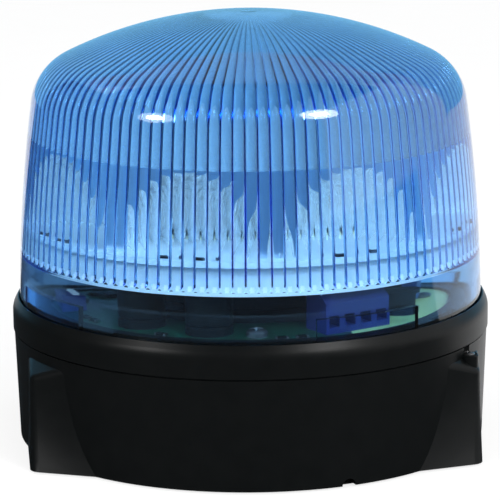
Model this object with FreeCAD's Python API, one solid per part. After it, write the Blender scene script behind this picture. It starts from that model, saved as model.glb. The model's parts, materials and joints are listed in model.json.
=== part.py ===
import FreeCAD, Part
import math
import os

Vector = FreeCAD.Vector
ORIGIN = Vector(0, 0, 0)
UP = Vector(0, 0, 1)
FULL_TURN = 360.0

# Frame: millimetres, the mounting plane is z = 0, the axis of the lens is Z and the front faces -Y.
# Angles around the axis are in degrees, counted from the front towards +X.

# Overall sizes
base_height = 38.5
rim_radius = 65.4

# Base housing
ring_height = 9.0
housing_step = 0.3
foot_taper = 1.3
housing_wall = 2.8
floor_thickness = 3.0
foot_recess = 2.5
foot_rim_width = 3.4
cable_hole_radius = 8.0
drain_radius = 1.9
drain_angle = 21.0

# Corner lugs and the mounting holes in them
lug_height = 23.6
lug_root_height = 26.6
lug_waist_height = 12.0
lug_inset_x = 5.8
lug_inset_y_foot = 22.9
lug_inset_y_waist = 27.6
lug_inset_y_top = 30.4
lug_front_angle_foot = 38.0
lug_front_angle_waist = 44.5
lug_front_angle_top = 46.5
lug_side_angle_foot = 82.0
lug_side_angle_waist = 76.0
lug_side_angle_top = 72.0
lug_corner_radius = 3.6
lug_top_rounding = 2.4
mount_inset_x = 7.6
mount_inset_y = 4.5
mount_hole_radius = 2.1
mount_hole_depth = 14.0

# Lens
rim_wall = 1.65
lens_clearance = 0.33
lens_lean = 1.18
lens_side_curve = 442.0
lens_side_height = 53.7
lens_shoulder_radius = 15.7
lens_dome_radius = 115.3
clear_wall = 2.1
flute_wall = 2.3
flute_depth = 1.0
flute_count = 120
flute_start = 14.0
flute_end_radius = 10.0
side_levels = 2
shoulder_levels = 3
dome_levels = 2

# Twist lock between lens and ring
bayonet_count = 4
bayonet_angle = 28.0
bayonet_turn = 30.0
pad_depth = 1.7
pad_rise = 5.4
pad_half_angle = 14.0
catch_depth = 1.6
catch_height = 2.4
catch_lift = 0.3
catch_half_angle = 6.0
catch_end_gap = 0.5

# Bayonet ring and seal
ring_floor = 2.5
rim_chamfer = 0.5
rim_bevel_width = 1.35
rim_bevel_height = 2.5
rim_rounding = 5.0
spigot_wall = 4.2
spigot_drop = 0.5
lip_depth = 2.0
lip_width = 2.2
seat_clearance = 0.15
tab_reach = 9.5
tab_width = 9.0
seal_thickness = 1.0
seal_width = 3.2
seal_gap = 0.1

# Screws and the bosses that they enter
screw_radius = 1.5
screw_head_radius = 2.75
screw_head_height = 2.0
screw_grip = 8.0
boss_radius = 3.8
hole_clearance = 0.2
pilot_clearance = 0.03
screw_count = 4
tab_screw_angle = 45.0
board_screw_inset = 7.6
board_screw_angle = 0.0
stand_screw_angle = 45.0
light_screw_angle = 45.0

# Lock screw in a small boss on one lug
lock_shank_radius = 1.0
lock_head_radius = 1.7
lock_head_height = 1.2
lock_length = 8.0
lock_boss_wall = 0.7
lock_boss_rise = 4.0
lock_boss_chamfer = 0.3
lock_pocket_depth = 0.6
lock_inset = 3.4

# Cable grommet
grommet_wall = 4.0
grommet_flange = 2.6
grommet_lip = 1.5

# Driver board
board_drop = 1.5
board_thickness = 1.6
board_gap = 0.5
board_hole_radius = 8.0

# Terminal block
terminal_ways = 4
terminal_pitch = 5.0
terminal_depth = 8.6
terminal_height = 11.5
terminal_slope = 3.0
terminal_well_radius = 2.0
terminal_well_depth = 4.0
terminal_entry = 3.2
terminal_entry_depth = 5.0
terminal_screw_height = 2.6
terminal_inset = 9.6
terminal_angle = 32.0

# Mode switch with its sliders
switch_ways = 4
switch_pitch = 2.54
switch_margin = 0.6
switch_depth = 6.2
switch_height = 5.5
slot_width = 1.5
slot_length = 3.8
slot_depth = 1.6
slider_length = 1.7
slider_proud = 0.7
slider_gap = 0.2
switch_inset = 4.6
switch_angle = -77.0

# Other parts on the driver board
capacitor_radius = 6.25
capacitor_height = 12.5
capacitor_groove = 0.5
capacitor_groove_height = 2.4
capacitor_inset = 10.6
capacitor_angles = (-42.0, -16.0)
inductor_radius = 6.0
inductor_core_radius = 5.0
inductor_flange = 1.3
inductor_height = 8.0
inductor_inset = 10.6
inductor_angle = 60.0
varistor_radius = 5.0
varistor_thickness = 4.0
varistor_standoff = 1.5
lead_radius = 0.4
lead_pitch = 5.0
varistor_inset = 10.6
varistor_angle = 78.0
rectifier_width = 15.0
rectifier_depth = 4.2
rectifier_height = 10.0
rectifier_corner = 2.5
rectifier_inset = 9.6
rectifier_angle = 112.0
transistor_width = 6.5
transistor_depth = 6.1
transistor_height = 2.3
transistor_plate_length = 3.0
transistor_plate_height = 0.9
transistor_inset = 11.6
transistor_angles = (134.0, 150.0)
fuse_glass_radius = 2.4
fuse_glass_length = 12.0
fuse_cap_radius = 2.6
fuse_cap_length = 4.5
fuse_axis_height = 4.6
fuse_clip_width = 3.0
fuse_inset = 10.6
fuse_angle = 205.0
chip_length = 10.0
chip_width = 6.0
chip_height = 1.7
chip_legs = 8
chip_leg_pitch = 1.2
chip_leg_width = 0.45
chip_leg_reach = 1.1
chip_leg_height = 0.6
chip_inset = 10.6
chip_angle = 245.0
header_width = 10.0
header_depth = 5.0
header_height = 8.5
header_angle = 0.0

# Light unit
led_level = 20.1
led_board_thickness = 1.6
led_board_gap = 4.32
wire_hole_radius = 6.0
sink_thickness = 2.5
sink_inset = 3.0
sink_skirt_wall = 2.0
sink_skirt_drop = 7.0
pedestal_inset = 28.6
pedestal_wall = 2.5
pedestal_top = 3.0
pedestal_foot_reach = 8.0
pedestal_foot = 3.0
reflector_inset = 4.0
reflector_height = 22.5
reflector_web = 3.0
niche_count = 8
niche_angle = 26.8
niche_depth = 24.0
niche_wall = 2.0
niche_half_width = 18.9
reflector_top_wall = 2.5
cap_ledge = 1.4
cap_thickness = 1.5
niche_vertex_share = 0.2
niche_overrun_share = 1.04
niche_rows = 5
niche_columns = 8
led_size = 3.4
led_height = 0.7
led_dome_radius = 1.35
led_dome_height = 0.9
led_dome_top_radius = 0.8
led_dome_sides = 8

# Heights worked out from the sizes above
seam_z = base_height - ring_height
housing_floor_z = foot_recess + floor_thickness
ring_floor_z = seam_z + ring_floor
lens_bottom_z = ring_floor_z + seal_thickness + seal_gap
catch_low_z = lens_bottom_z + catch_lift
catch_high_z = catch_low_z + catch_height
spigot_top_z = base_height - spigot_drop
board_top_z = base_height - board_drop
board_low_z = board_top_z - board_thickness
led_top_z = base_height + led_level
led_low_z = led_top_z - led_board_thickness
sink_low_z = led_low_z - sink_thickness

# Radii worked out from the rim inwards
housing_top_radius = rim_radius - housing_step
lens_socket_radius = rim_radius - rim_wall
lens_radius = lens_socket_radius - lens_clearance
clear_radius = lens_radius - clear_wall
pad_radius = clear_radius - pad_depth
spigot_radius = pad_radius - lens_clearance
spigot_inner_radius = spigot_radius - spigot_wall
catch_radius = pad_radius - catch_depth
groove_radius = catch_radius - lens_clearance
board_radius = spigot_inner_radius - board_gap
foot_radius = rim_radius - foot_taper
grommet_bore_radius = cable_hole_radius - grommet_wall
led_board_radius = clear_radius - led_board_gap
sink_radius = led_board_radius - sink_inset
reflector_radius = led_board_radius - reflector_inset
niche_vertex_radius = reflector_radius - niche_depth
reflector_well_radius = niche_vertex_radius - niche_wall
cap_seat_radius = reflector_well_radius + cap_ledge
niche_height = reflector_height - reflector_top_wall
led_place_radius = niche_vertex_radius + niche_half_width ** 2 / (4 * niche_depth)

# Corners of the lugs and places of the mounting holes
lug_reach_x = rim_radius - lug_inset_x
lug_reach_y_foot = rim_radius - lug_inset_y_foot
lug_reach_y_waist = rim_radius - lug_inset_y_waist
lug_reach_y_top = rim_radius - lug_inset_y_top
mount_x = lug_reach_x - mount_inset_x
mount_y = lug_reach_y_foot - mount_inset_y

# Places of the screws and of the parts on the driver board
pedestal_radius = board_radius - pedestal_inset
pedestal_inner_radius = pedestal_radius - pedestal_wall
tab_screw_radius = spigot_inner_radius - tab_reach / 2
board_screw_radius = board_radius - board_screw_inset
stand_screw_radius = pedestal_radius + pedestal_foot_reach / 2
light_screw_radius = pedestal_inner_radius - boss_radius - hole_clearance
terminal_place_radius = board_radius - terminal_inset
switch_place_radius = board_radius - switch_inset
capacitor_place_radius = board_radius - capacitor_inset
inductor_place_radius = board_radius - inductor_inset
varistor_place_radius = board_radius - varistor_inset
rectifier_place_radius = board_radius - rectifier_inset
transistor_place_radius = board_radius - transistor_inset
fuse_place_radius = board_radius - fuse_inset
chip_place_radius = board_radius - chip_inset
header_place_radius = (board_hole_radius + pedestal_inner_radius) / 2

# Holes that screws pass through or cut into
clearance_hole_radius = screw_radius + hole_clearance
pilot_hole_radius = screw_radius + pilot_clearance

# Lens profile: side, shoulder and dome are tangent arcs, with heights counted from the rim
lean = math.radians(lens_lean)
side_centre_r = lens_radius - lens_side_curve * math.cos(lean)
side_centre_z = -lens_side_curve * math.sin(lean)
side_end = math.asin((lens_side_height - side_centre_z) / lens_side_curve)
shoulder_centre_r = side_centre_r + (lens_side_curve - lens_shoulder_radius) * math.cos(side_end)
shoulder_centre_z = side_centre_z + (lens_side_curve - lens_shoulder_radius) * math.sin(side_end)
dome_reach = lens_dome_radius - lens_shoulder_radius
dome_half = math.asin(shoulder_centre_r / dome_reach)
dome_centre_z = shoulder_centre_z - dome_reach * math.cos(dome_half)


def polar(radius, angle, z=0.0):
    """Point at a radius and an angle from the front."""
    turn = math.radians(angle)
    return Vector(radius * math.sin(turn), -radius * math.cos(turn), z)


def turned(shape, angle):
    """Copy of a shape turned about the axis."""
    return shape.rotated(ORIGIN, UP, angle)


def around(shape, count):
    """Copies of a shape, spread evenly about the axis."""
    return [turned(shape, FULL_TURN * index / count) for index in range(count)]


def flat_face(points):
    """Flat face with straight edges."""
    return Part.Face(Part.makePolygon(points + points[:1]))


def facetted(sections):
    """Solid with flat facets between outlines that are scaled copies of each other."""
    faces = [flat_face(sections[0]), flat_face(sections[-1])]
    for lower, upper in zip(sections, sections[1:]):
        for index in range(len(lower)):
            faces.append(flat_face([lower[index - 1], lower[index], upper[index], upper[index - 1]]))
    shell = Part.makeShell(faces)
    shell.sewShape()
    return Part.makeSolid(shell)


def revolved(points):
    """Solid of revolution from an outline of (radius, height) points."""
    return flat_face([Vector(radius, 0, height) for radius, height in points]).revolve(ORIGIN, UP, FULL_TURN)


def tube(outer, inner, low, high):
    """Round ring with a square section."""
    return revolved([(inner, low), (outer, low), (outer, high), (inner, high)])


def sector(outer, inner, low, high, middle, half_angle):
    """Piece of a tube on both sides of a middle angle."""
    start = middle - half_angle
    corners = [
        polar(inner, start, low),
        polar(outer, start, low),
        polar(outer, start, high),
        polar(inner, start, high),
    ]
    return flat_face(corners).revolve(ORIGIN, UP, 2 * half_angle)


def post(radius, low, high, place_radius=0.0, angle=0.0):
    """Upright cylinder at a place on the plan."""
    return Part.makeCylinder(radius, high - low, polar(place_radius, angle, low))


def block(width, depth, low, high, place_radius, angle, aside=0.0):
    """Upright box, with its width along the circle and its depth along the radius."""
    corner = Vector(aside - width / 2, -place_radius - depth / 2, low)
    return turned(Part.makeBox(width, depth, high - low, corner), angle)


def screw(seat, length, place_radius, angle):
    """Pan-head screw: its head stands on the seat and its shank goes down from there."""
    head = post(screw_head_radius, seat, seat + screw_head_height, place_radius, angle)
    return head.fuse(post(screw_radius, seat - length, seat, place_radius, angle))


def screw_set(seat, length, place_radius, first_angle):
    """Like screws on one circle."""
    return Part.makeCompound(around(screw(seat, length, place_radius, first_angle), screw_count))


def hole_set(radius, low, high, place_radius, first_angle):
    """Cutters for the holes on one circle."""
    return around(post(radius, low, high, place_radius, first_angle), screw_count)


def arc_point(centre_r, centre_z, radius, tilt):
    """Point of a profile arc above the rim, by its tilt from the horizontal."""
    return Vector(centre_r + radius * math.cos(tilt), 0, base_height + centre_z + radius * math.sin(tilt))


def profile_arc(centre_r, centre_z, radius, start, end):
    """Profile arc between two tilts."""
    tilts = (start, (start + end) / 2, end)
    return Part.Arc(*[arc_point(centre_r, centre_z, radius, tilt) for tilt in tilts]).toShape()


def lug_section(z, body_radius, reach_y, front_angle, side_angle):
    """Outline of the front right lug at one height: two faces that meet in a rounded corner."""
    root = polar(body_radius / 2, (front_angle + side_angle) / 2, z)
    front = polar(body_radius - housing_wall / 2, front_angle, z)
    side = polar(body_radius - housing_wall / 2, side_angle, z)
    corner = Vector(lug_reach_x, -reach_y, z)
    to_front = (front - corner).normalize()
    to_side = (side - corner).normalize()
    half = to_front.getAngle(to_side) / 2
    run = lug_corner_radius / math.tan(half)
    inward = (to_front + to_side).normalize()
    arc_start = corner + to_front * run
    arc_end = corner + to_side * run
    arc_middle = corner + inward * (lug_corner_radius / math.sin(half) - lug_corner_radius)
    edges = [
        Part.LineSegment(root, front).toShape(),
        Part.LineSegment(front, arc_start).toShape(),
        Part.Arc(arc_start, arc_middle, arc_end).toShape(),
        Part.LineSegment(arc_end, side).toShape(),
        Part.LineSegment(side, root).toShape(),
    ]
    return Part.Wire(edges)


def lug():
    """Front right corner lug: it flares at its foot, and its rounded top falls away from the body."""
    waist_radius = foot_radius + (housing_top_radius - foot_radius) * lug_waist_height / seam_z
    sections = [
        lug_section(0, foot_radius, lug_reach_y_foot, lug_front_angle_foot, lug_side_angle_foot),
        lug_section(lug_waist_height, waist_radius, lug_reach_y_waist, lug_front_angle_waist, lug_side_angle_waist),
        lug_section(seam_z, housing_top_radius, lug_reach_y_top, lug_front_angle_top, lug_side_angle_top),
    ]
    solid = Part.makeLoft(sections, True)
    corner_radius = math.hypot(lug_reach_x, lug_reach_y_top)
    fall = (lug_root_height - lug_height) / (corner_radius - housing_top_radius)
    far = 2 * rim_radius
    peak = lug_root_height + fall * housing_top_radius
    solid = solid.cut(revolved([(0, peak), (far, peak - fall * far), (far, peak)]))
    shown = foot_radius - housing_wall
    rounded = []
    for edge in solid.Edges:
        outside = all(math.hypot(vertex.X, vertex.Y) > shown for vertex in edge.Vertexes)
        if outside and edge.BoundBox.ZMin > (lug_waist_height + lug_height) / 2:
            rounded.append(edge)
    return solid.makeFillet(lug_top_rounding, rounded)


def lock_place(z):
    """Place of the lock screw, set in from the corner of the front right lug."""
    corner = Vector(lug_reach_x, -lug_reach_y_top, 0)
    place = corner * (1 - lock_inset / corner.Length)
    return Vector(place.x, place.y, z)


def lock_boss():
    """Small round boss for the lock screw, on the front right lug."""
    radius = lock_head_radius + hole_clearance + lock_boss_wall
    top = lug_height + lock_boss_rise
    outline = [
        (0, lug_waist_height),
        (radius, lug_waist_height),
        (radius, top - lock_boss_chamfer),
        (radius - lock_boss_chamfer, top),
        (0, top),
    ]
    return revolved(outline).translated(lock_place(0))


def base_housing():
    """Moulded cup with corner lugs, screw bosses, cable hole, drain notch and mounting holes."""
    body = revolved([(0, 0), (foot_radius, 0), (housing_top_radius, seam_z), (0, seam_z)])
    right = lug()
    front_lugs = [right, right.mirror(ORIGIN, Vector(1, 0, 0))]
    rear_lugs = [shape.mirror(ORIGIN, Vector(0, 1, 0)) for shape in front_lugs]
    body = body.multiFuse(front_lugs + rear_lugs + [lock_boss()])

    slope = (housing_top_radius - foot_radius) / seam_z
    floor_radius = foot_radius + slope * housing_floor_z - housing_wall
    cavity_radius = housing_top_radius - housing_wall
    cavity = revolved([
        (0, housing_floor_z),
        (floor_radius, housing_floor_z),
        (cavity_radius, seam_z),
        (0, seam_z),
    ])
    recess = post(foot_radius - foot_rim_width, 0, foot_recess)
    body = body.cut([cavity, recess])

    bosses = hole_set(boss_radius, housing_floor_z, seam_z, tab_screw_radius, tab_screw_angle)
    bosses += hole_set(boss_radius, housing_floor_z, board_low_z, board_screw_radius, board_screw_angle)
    bosses += hole_set(boss_radius, housing_floor_z, board_low_z, stand_screw_radius, stand_screw_angle)
    body = body.multiFuse(bosses)

    pilot_depth = screw_grip + screw_radius
    cutters = hole_set(pilot_hole_radius, seam_z - pilot_depth, seam_z, tab_screw_radius, tab_screw_angle)
    board_pilot_z = board_low_z - pilot_depth
    cutters += hole_set(pilot_hole_radius, board_pilot_z, board_low_z, board_screw_radius, board_screw_angle)
    cutters += hole_set(pilot_hole_radius, board_pilot_z, board_low_z, stand_screw_radius, stand_screw_angle)
    cutters.append(post(cable_hole_radius, 0, housing_floor_z))
    for x in (-mount_x, mount_x):
        for y in (-mount_y, mount_y):
            cutters.append(Part.makeCylinder(mount_hole_radius, mount_hole_depth, Vector(x, y, 0)))
    notch_start = polar(foot_radius - 2 * foot_rim_width, drain_angle)
    cutters.append(Part.makeCylinder(drain_radius, 3 * foot_rim_width, notch_start, polar(1, drain_angle)))
    pocket_floor = lug_height + lock_boss_rise - lock_pocket_depth
    pocket_radius = lock_head_radius + hole_clearance
    cutters.append(Part.makeCylinder(pocket_radius, seam_z - pocket_floor, lock_place(pocket_floor)))
    lock_hole_radius = lock_shank_radius + pilot_clearance
    lock_hole_depth = lock_length + lock_shank_radius
    cutters.append(Part.makeCylinder(lock_hole_radius, lock_hole_depth, lock_place(pocket_floor), -UP))
    return body.cut(cutters)


def lock_screw():
    """Small screw in the boss on the front right lug."""
    seat = lug_height + lock_boss_rise - lock_pocket_depth
    head = Part.makeCylinder(lock_head_radius, lock_head_height, lock_place(seat))
    shank = Part.makeCylinder(lock_shank_radius, lock_length, lock_place(seat), -UP)
    return head.fuse(shank)


def bayonet_ring():
    """Trough for the lens edge, with catches on its inner wall and tabs for its screws."""
    lip_outer = housing_top_radius - housing_wall - seat_clearance
    lip_inner = lip_outer - lip_width
    bevel_low_z = base_height - rim_bevel_height
    body = revolved([
        (spigot_inner_radius, seam_z),
        (lip_inner, seam_z),
        (lip_inner, seam_z - lip_depth),
        (lip_outer, seam_z - lip_depth),
        (lip_outer, seam_z),
        (rim_radius - rim_chamfer, seam_z),
        (rim_radius, seam_z + rim_chamfer),
        (rim_radius, bevel_low_z),
        (rim_radius - rim_bevel_width, base_height),
        (lens_socket_radius, base_height),
        (lens_socket_radius, ring_floor_z),
        (spigot_radius, ring_floor_z),
        (spigot_radius, spigot_top_z),
        (spigot_inner_radius, spigot_top_z),
    ])
    circles = [edge for edge in body.Edges if edge.Length > rim_radius]
    rounded = [edge for edge in circles if abs(edge.CenterOfMass.z - bevel_low_z) < rim_chamfer]
    body = body.makeFillet(rim_rounding, rounded)
    tab_place = spigot_inner_radius - tab_reach / 2
    tab = block(tab_width, tab_reach + spigot_wall, seam_z, ring_floor_z, tab_place, tab_screw_angle)
    body = body.multiFuse(around(tab, screw_count))

    end_angle = catch_half_angle + catch_end_gap
    groove_half = end_angle + bayonet_turn / 2
    groove_low = catch_low_z - catch_lift
    groove_high = catch_high_z + lens_clearance
    groove_middle = bayonet_angle + bayonet_turn / 2
    groove = sector(rim_radius, groove_radius, groove_low, groove_high, groove_middle, groove_half)
    entry = sector(rim_radius, groove_radius, groove_low, base_height, bayonet_angle + bayonet_turn, end_angle)
    outside = tube(2 * rim_radius, spigot_radius, 0, base_height)
    path = groove.fuse(entry).cut(outside)
    cutters = around(path, bayonet_count)
    cutters += hole_set(clearance_hole_radius, seam_z, ring_floor_z, tab_screw_radius, tab_screw_angle)
    return body.cut(cutters)


def lens_seal():
    """Flat rubber ring on the floor of the trough."""
    outer = lens_socket_radius - lens_clearance
    return tube(outer, outer - seal_width, ring_floor_z, ring_floor_z + seal_thickness)


def flute_valleys():
    """Points of the lens hollow's profile, from the lower ends of the flutes to the smooth crown."""
    side_radius = lens_side_curve - flute_wall
    bend_radius = lens_shoulder_radius - flute_wall
    dome_radius = lens_dome_radius - flute_wall
    shoulder_end = math.pi / 2 - dome_half
    crown_end = math.acos(flute_end_radius / dome_radius)
    side_start = math.asin((flute_start - clear_wall - side_centre_z) / side_radius)
    arcs = [
        (side_centre_r, side_centre_z, side_radius, side_start, side_end, side_levels),
        (shoulder_centre_r, shoulder_centre_z, bend_radius, side_end, shoulder_end, shoulder_levels),
        (0, dome_centre_z, dome_radius, shoulder_end, crown_end, dome_levels),
    ]
    points = [arc_point(side_centre_r, side_centre_z, side_radius, side_start)]
    for centre_r, centre_z, radius, start, end, levels in arcs:
        for level in range(1, levels + 1):
            points.append(arc_point(centre_r, centre_z, radius, start + (end - start) * level / levels))
    return points


def flute_section(valley, ridge_share):
    """Star outline of the hollow at one height: a valley and a ridge for each flute."""
    points = []
    for index in range(flute_count):
        points.append(polar(valley.x, FULL_TURN * index / flute_count, valley.z))
        points.append(polar(valley.x * ridge_share, FULL_TURN * (index + 0.5) / flute_count, valley.z))
    return points


def lens():
    """Fluted dome with a clear band, a plain edge and inner pads and catches for the twist lock."""
    bottom = Vector(0, 0, lens_bottom_z)
    edge = Vector(lens_radius, 0, lens_bottom_z)
    shoulder_end = math.pi / 2 - dome_half
    side = profile_arc(side_centre_r, side_centre_z, lens_side_curve, lean, side_end)
    shoulder = profile_arc(shoulder_centre_r, shoulder_centre_z, lens_shoulder_radius, side_end, shoulder_end)
    dome = profile_arc(0, dome_centre_z, lens_dome_radius, shoulder_end, math.pi / 2)
    rim = arc_point(side_centre_r, side_centre_z, lens_side_curve, lean)
    apex = arc_point(0, dome_centre_z, lens_dome_radius, math.pi / 2)
    edges = [
        Part.LineSegment(bottom, edge).toShape(),
        Part.LineSegment(edge, rim).toShape(),
        side,
        shoulder,
        dome,
        Part.LineSegment(apex, bottom).toShape(),
    ]
    body = Part.Face(Part.Wire(edges)).revolve(ORIGIN, UP, FULL_TURN)

    clear_side_radius = lens_side_curve - clear_wall
    clear_end = math.asin((flute_start - side_centre_z) / clear_side_radius)
    clear_side = profile_arc(side_centre_r, side_centre_z, clear_side_radius, lean, clear_end)
    clear_low = arc_point(side_centre_r, side_centre_z, clear_side_radius, lean)
    clear_high = arc_point(side_centre_r, side_centre_z, clear_side_radius, clear_end)
    clear_edge = Vector(clear_low.x, 0, lens_bottom_z)
    clear_top = Vector(0, 0, clear_high.z)
    edges = [
        Part.LineSegment(bottom, clear_edge).toShape(),
        Part.LineSegment(clear_edge, clear_low).toShape(),
        clear_side,
        Part.LineSegment(clear_high, clear_top).toShape(),
        Part.LineSegment(clear_top, bottom).toShape(),
    ]
    hollow = Part.Face(Part.Wire(edges)).revolve(ORIGIN, UP, FULL_TURN)
    body = body.cut(hollow)

    wall_middle = lens_radius - clear_wall / 2
    pad_top = base_height + pad_rise
    pad = sector(wall_middle, pad_radius, lens_bottom_z, pad_top, bayonet_angle, pad_half_angle)
    catch = sector(wall_middle, catch_radius, catch_low_z, catch_high_z, bayonet_angle, catch_half_angle)
    body = body.multiFuse(around(pad.fuse(catch), bayonet_count))
    valleys = flute_valleys()
    ridge_share = 1 - flute_depth / valleys[0].x
    flutes = facetted([flute_section(valley, ridge_share) for valley in valleys])
    return body.cut(flutes)


def cable_grommet():
    """Rubber sleeve clipped into the cable hole, with a bore for the cable."""
    neck = cable_hole_radius - seat_clearance
    flange = cable_hole_radius + grommet_flange
    low = foot_recess
    high = housing_floor_z
    return revolved([
        (grommet_bore_radius, low - grommet_lip),
        (flange, low - grommet_lip),
        (flange, low),
        (neck, low),
        (neck, high),
        (flange, high),
        (flange, high + grommet_lip),
        (grommet_bore_radius, high + grommet_lip),
    ])


def driver_board():
    """Round circuit board with its screw holes and a hole for the cable."""
    board = tube(board_radius, board_hole_radius, board_low_z, board_top_z)
    cutters = hole_set(clearance_hole_radius, board_low_z, board_top_z, board_screw_radius, board_screw_angle)
    cutters += hole_set(clearance_hole_radius, board_low_z, board_top_z, stand_screw_radius, stand_screw_angle)
    return board.cut(cutters)


def terminal_places():
    """Sideways place of each way of the terminal block."""
    return [(way - (terminal_ways - 1) / 2) * terminal_pitch for way in range(terminal_ways)]


def terminal_block():
    """Terminal block with a sloped outer edge, screw wells and wire entries."""
    width = terminal_ways * terminal_pitch
    outer = -terminal_place_radius - terminal_depth / 2
    inner = -terminal_place_radius + terminal_depth / 2
    top = board_top_z + terminal_height
    corners = [
        Vector(-width / 2, outer, board_top_z),
        Vector(-width / 2, inner, board_top_z),
        Vector(-width / 2, inner, top),
        Vector(-width / 2, outer + terminal_slope, top),
        Vector(-width / 2, outer, top - terminal_slope),
    ]
    body = flat_face(corners).extrude(Vector(width, 0, 0))
    cutters = []
    for aside in terminal_places():
        well_place = Vector(aside, -terminal_place_radius + terminal_slope / 2, top - terminal_well_depth)
        cutters.append(Part.makeCylinder(terminal_well_radius, terminal_well_depth, well_place))
        entry_corner = Vector(aside - terminal_entry / 2, outer, board_top_z + terminal_entry / 2)
        cutters.append(Part.makeBox(terminal_entry, terminal_entry_depth, terminal_entry, entry_corner))
    return turned(body.cut(cutters), terminal_angle)


def terminal_screws():
    """Clamp screws at the bottom of the terminal wells."""
    low = board_top_z + terminal_height - terminal_well_depth
    radius = terminal_well_radius - hole_clearance
    screws = []
    for aside in terminal_places():
        place = Vector(aside, -terminal_place_radius + terminal_slope / 2, low)
        screws.append(turned(Part.makeCylinder(radius, terminal_screw_height, place), terminal_angle))
    return Part.makeCompound(screws)


def switch_places():
    """Sideways place of each way of the mode switch."""
    return [(way - (switch_ways - 1) / 2) * switch_pitch for way in range(switch_ways)]


def mode_switch():
    """Switch block with one open slot for each slider."""
    width = switch_ways * switch_pitch + 2 * switch_margin
    top = board_top_z + switch_height
    body = block(width, switch_depth, board_top_z, top, switch_place_radius, switch_angle)
    slots = []
    for aside in switch_places():
        low = top - slot_depth
        slots.append(block(slot_width, slot_length, low, top, switch_place_radius, switch_angle, aside))
    return body.cut(slots)


def mode_slider(way):
    """One slider of the mode switch, at the inner end of its slot."""
    top = board_top_z + switch_height
    low = top - slot_depth + seal_gap
    place_radius = switch_place_radius - slot_length / 2 + slider_gap + slider_length / 2
    width = slot_width - 2 * slider_gap
    aside = switch_places()[way]
    return block(width, slider_length, low, top + slider_proud, place_radius, switch_angle, aside)


def storage_capacitor(angle):
    """Upright round capacitor with the crimp groove near its foot."""
    low = board_top_z
    groove = low + capacitor_groove_height
    inner = capacitor_radius - capacitor_groove
    outline = [
        (0, low),
        (capacitor_radius, low),
        (capacitor_radius, groove - capacitor_groove),
        (inner, groove),
        (capacitor_radius, groove + capacitor_groove),
        (capacitor_radius, low + capacitor_height - capacitor_groove),
        (inner, low + capacitor_height),
        (0, low + capacitor_height),
    ]
    return revolved(outline).translated(polar(capacitor_place_radius, angle))


def power_inductor():
    """Drum inductor: a winding between two flanges."""
    low = board_top_z
    high = low + inductor_height
    outline = [
        (0, low),
        (inductor_radius, low),
        (inductor_radius, low + inductor_flange),
        (inductor_core_radius, low + inductor_flange),
        (inductor_core_radius, high - inductor_flange),
        (inductor_radius, high - inductor_flange),
        (inductor_radius, high),
        (0, high),
    ]
    return revolved(outline).translated(polar(inductor_place_radius, inductor_angle))


def surge_varistor():
    """Upright disc on two leads."""
    centre_z = board_top_z + varistor_standoff + varistor_radius
    middle = polar(varistor_place_radius - varistor_thickness / 2, varistor_angle, centre_z)
    disc = Part.makeCylinder(varistor_radius, varistor_thickness, middle, polar(1, varistor_angle))
    leads = []
    for aside in (-lead_pitch / 2, lead_pitch / 2):
        lead_foot = Vector(aside, -varistor_place_radius, board_top_z)
        lead = Part.makeCylinder(lead_radius, centre_z - board_top_z, lead_foot)
        leads.append(turned(lead, varistor_angle))
    return disc.multiFuse(leads)


def bridge_rectifier():
    """Flat upright rectifier with one cut corner."""
    low = board_top_z
    high = low + rectifier_height
    half = rectifier_width / 2
    face_y = -rectifier_place_radius - rectifier_depth / 2
    corners = [
        Vector(-half, face_y, low),
        Vector(half, face_y, low),
        Vector(half, face_y, high),
        Vector(rectifier_corner - half, face_y, high),
        Vector(-half, face_y, high - rectifier_corner),
    ]
    body = flat_face(corners).extrude(Vector(0, rectifier_depth, 0))
    return turned(body, rectifier_angle)


def switch_transistor(angle):
    """Flat power transistor with its metal plate."""
    low = board_top_z
    high = low + transistor_height
    body = block(transistor_width, transistor_depth, low, high, transistor_place_radius, angle)
    plate_place = transistor_place_radius - transistor_depth / 2
    plate_width = transistor_width - transistor_height / 2
    plate_top = low + transistor_plate_height
    plate = block(plate_width, 2 * transistor_plate_length, low, plate_top, plate_place, angle)
    return body.fuse(plate)


def fuse_rod(radius, length, aside):
    """Cylinder along the axis of the fuse."""
    start = Vector(aside - length / 2, -fuse_place_radius, board_top_z + fuse_axis_height)
    return Part.makeCylinder(radius, length, start, Vector(1, 0, 0))


def fuse_tube():
    """Glass barrel of the fuse."""
    return turned(fuse_rod(fuse_glass_radius, fuse_glass_length, 0), fuse_angle)


def fuse_clips():
    """Metal end caps of the fuse, each in its clip on the board."""
    offset = (fuse_glass_length + fuse_cap_length) / 2
    clips = []
    for aside in (-offset, offset):
        cap = fuse_rod(fuse_cap_radius, fuse_cap_length, aside)
        leg_corner = Vector(aside - fuse_cap_length / 2, -fuse_place_radius - fuse_clip_width / 2, board_top_z)
        leg = Part.makeBox(fuse_cap_length, fuse_clip_width, fuse_axis_height, leg_corner)
        clips.append(turned(cap.fuse(leg), fuse_angle))
    return Part.makeCompound(clips)


def controller_chip():
    """Flat chip with a row of legs on both long sides."""
    low = board_top_z
    leg_top = low + chip_leg_height
    body_low = low + chip_leg_height / 2
    body = block(chip_length, chip_width, body_low, low + chip_height, chip_place_radius, chip_angle)
    legs = []
    leg_depth = chip_width + 2 * chip_leg_reach
    for index in range(chip_legs):
        aside = (index - (chip_legs - 1) / 2) * chip_leg_pitch
        legs.append(block(chip_leg_width, leg_depth, low, leg_top, chip_place_radius, chip_angle, aside))
    return body.multiFuse(legs)


def link_header():
    """Plug header on the driver board that feeds the light unit."""
    top = board_top_z + header_height
    return block(header_width, header_depth, board_top_z, top, header_place_radius, header_angle)


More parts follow.
